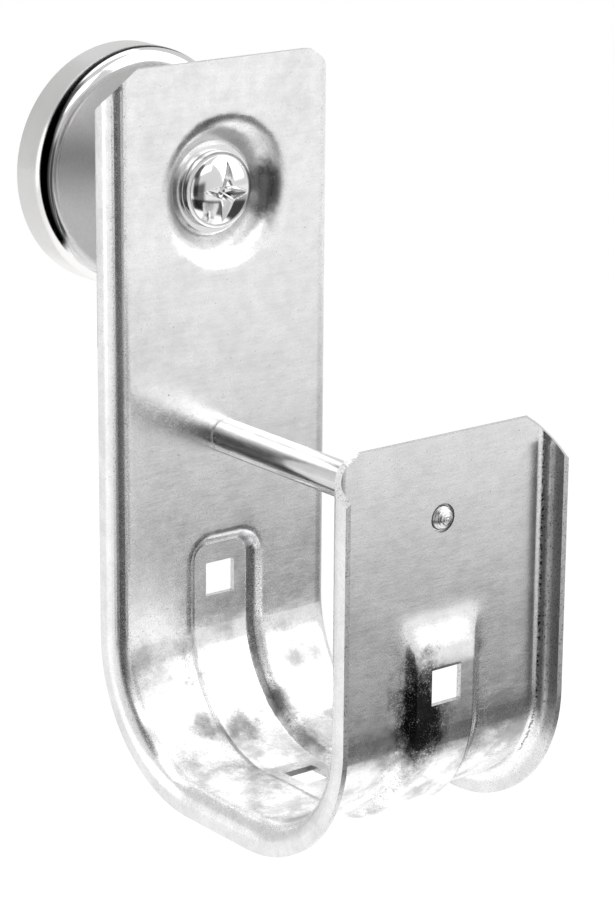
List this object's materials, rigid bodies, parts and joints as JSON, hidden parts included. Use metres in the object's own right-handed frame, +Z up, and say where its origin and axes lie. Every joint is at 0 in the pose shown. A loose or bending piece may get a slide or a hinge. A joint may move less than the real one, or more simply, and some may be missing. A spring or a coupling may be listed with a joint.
{
  "type": "magnet-mounted j hook cable support",
  "caption": "Folded sheet steel J hook with side flanges, a pressed channel, a retainer pin across its mouth and a round pot magnet behind, to carry cable bundles.",
  "frame": {"origin": "centre of the magnet's working face", "axes": "+Y out of the working face, into the surface that the hook hangs on; +Z up; X along the cables"},
  "size_m": [0.0412, 0.0834, 0.1105],
  "materials": {
    "galvanised_sheet": "zinc-coated, faintly mottled, satin to bright",
    "plated_pin": "bright zinc plate",
    "plated_fastener": "bright zinc plate",
    "nickel_plate": "bright nickel plate, brushed closed face",
    "ring_plastic": "matt moulded polymer",
    "ferrite": "ground ferrite, dull"
  },
  "bodies": {
    "root": {"hook_strap": "galvanised_sheet", "retainer_pin": "plated_pin", "mount_screw": "plated_fastener", "plain_washer": "plated_fastener", "magnet_bushing": "plated_fastener", "magnet_cup": "nickel_plate", "centring_ring": "ring_plastic", "magnet_disc": "ferrite"}
  },
  "joints": []
}
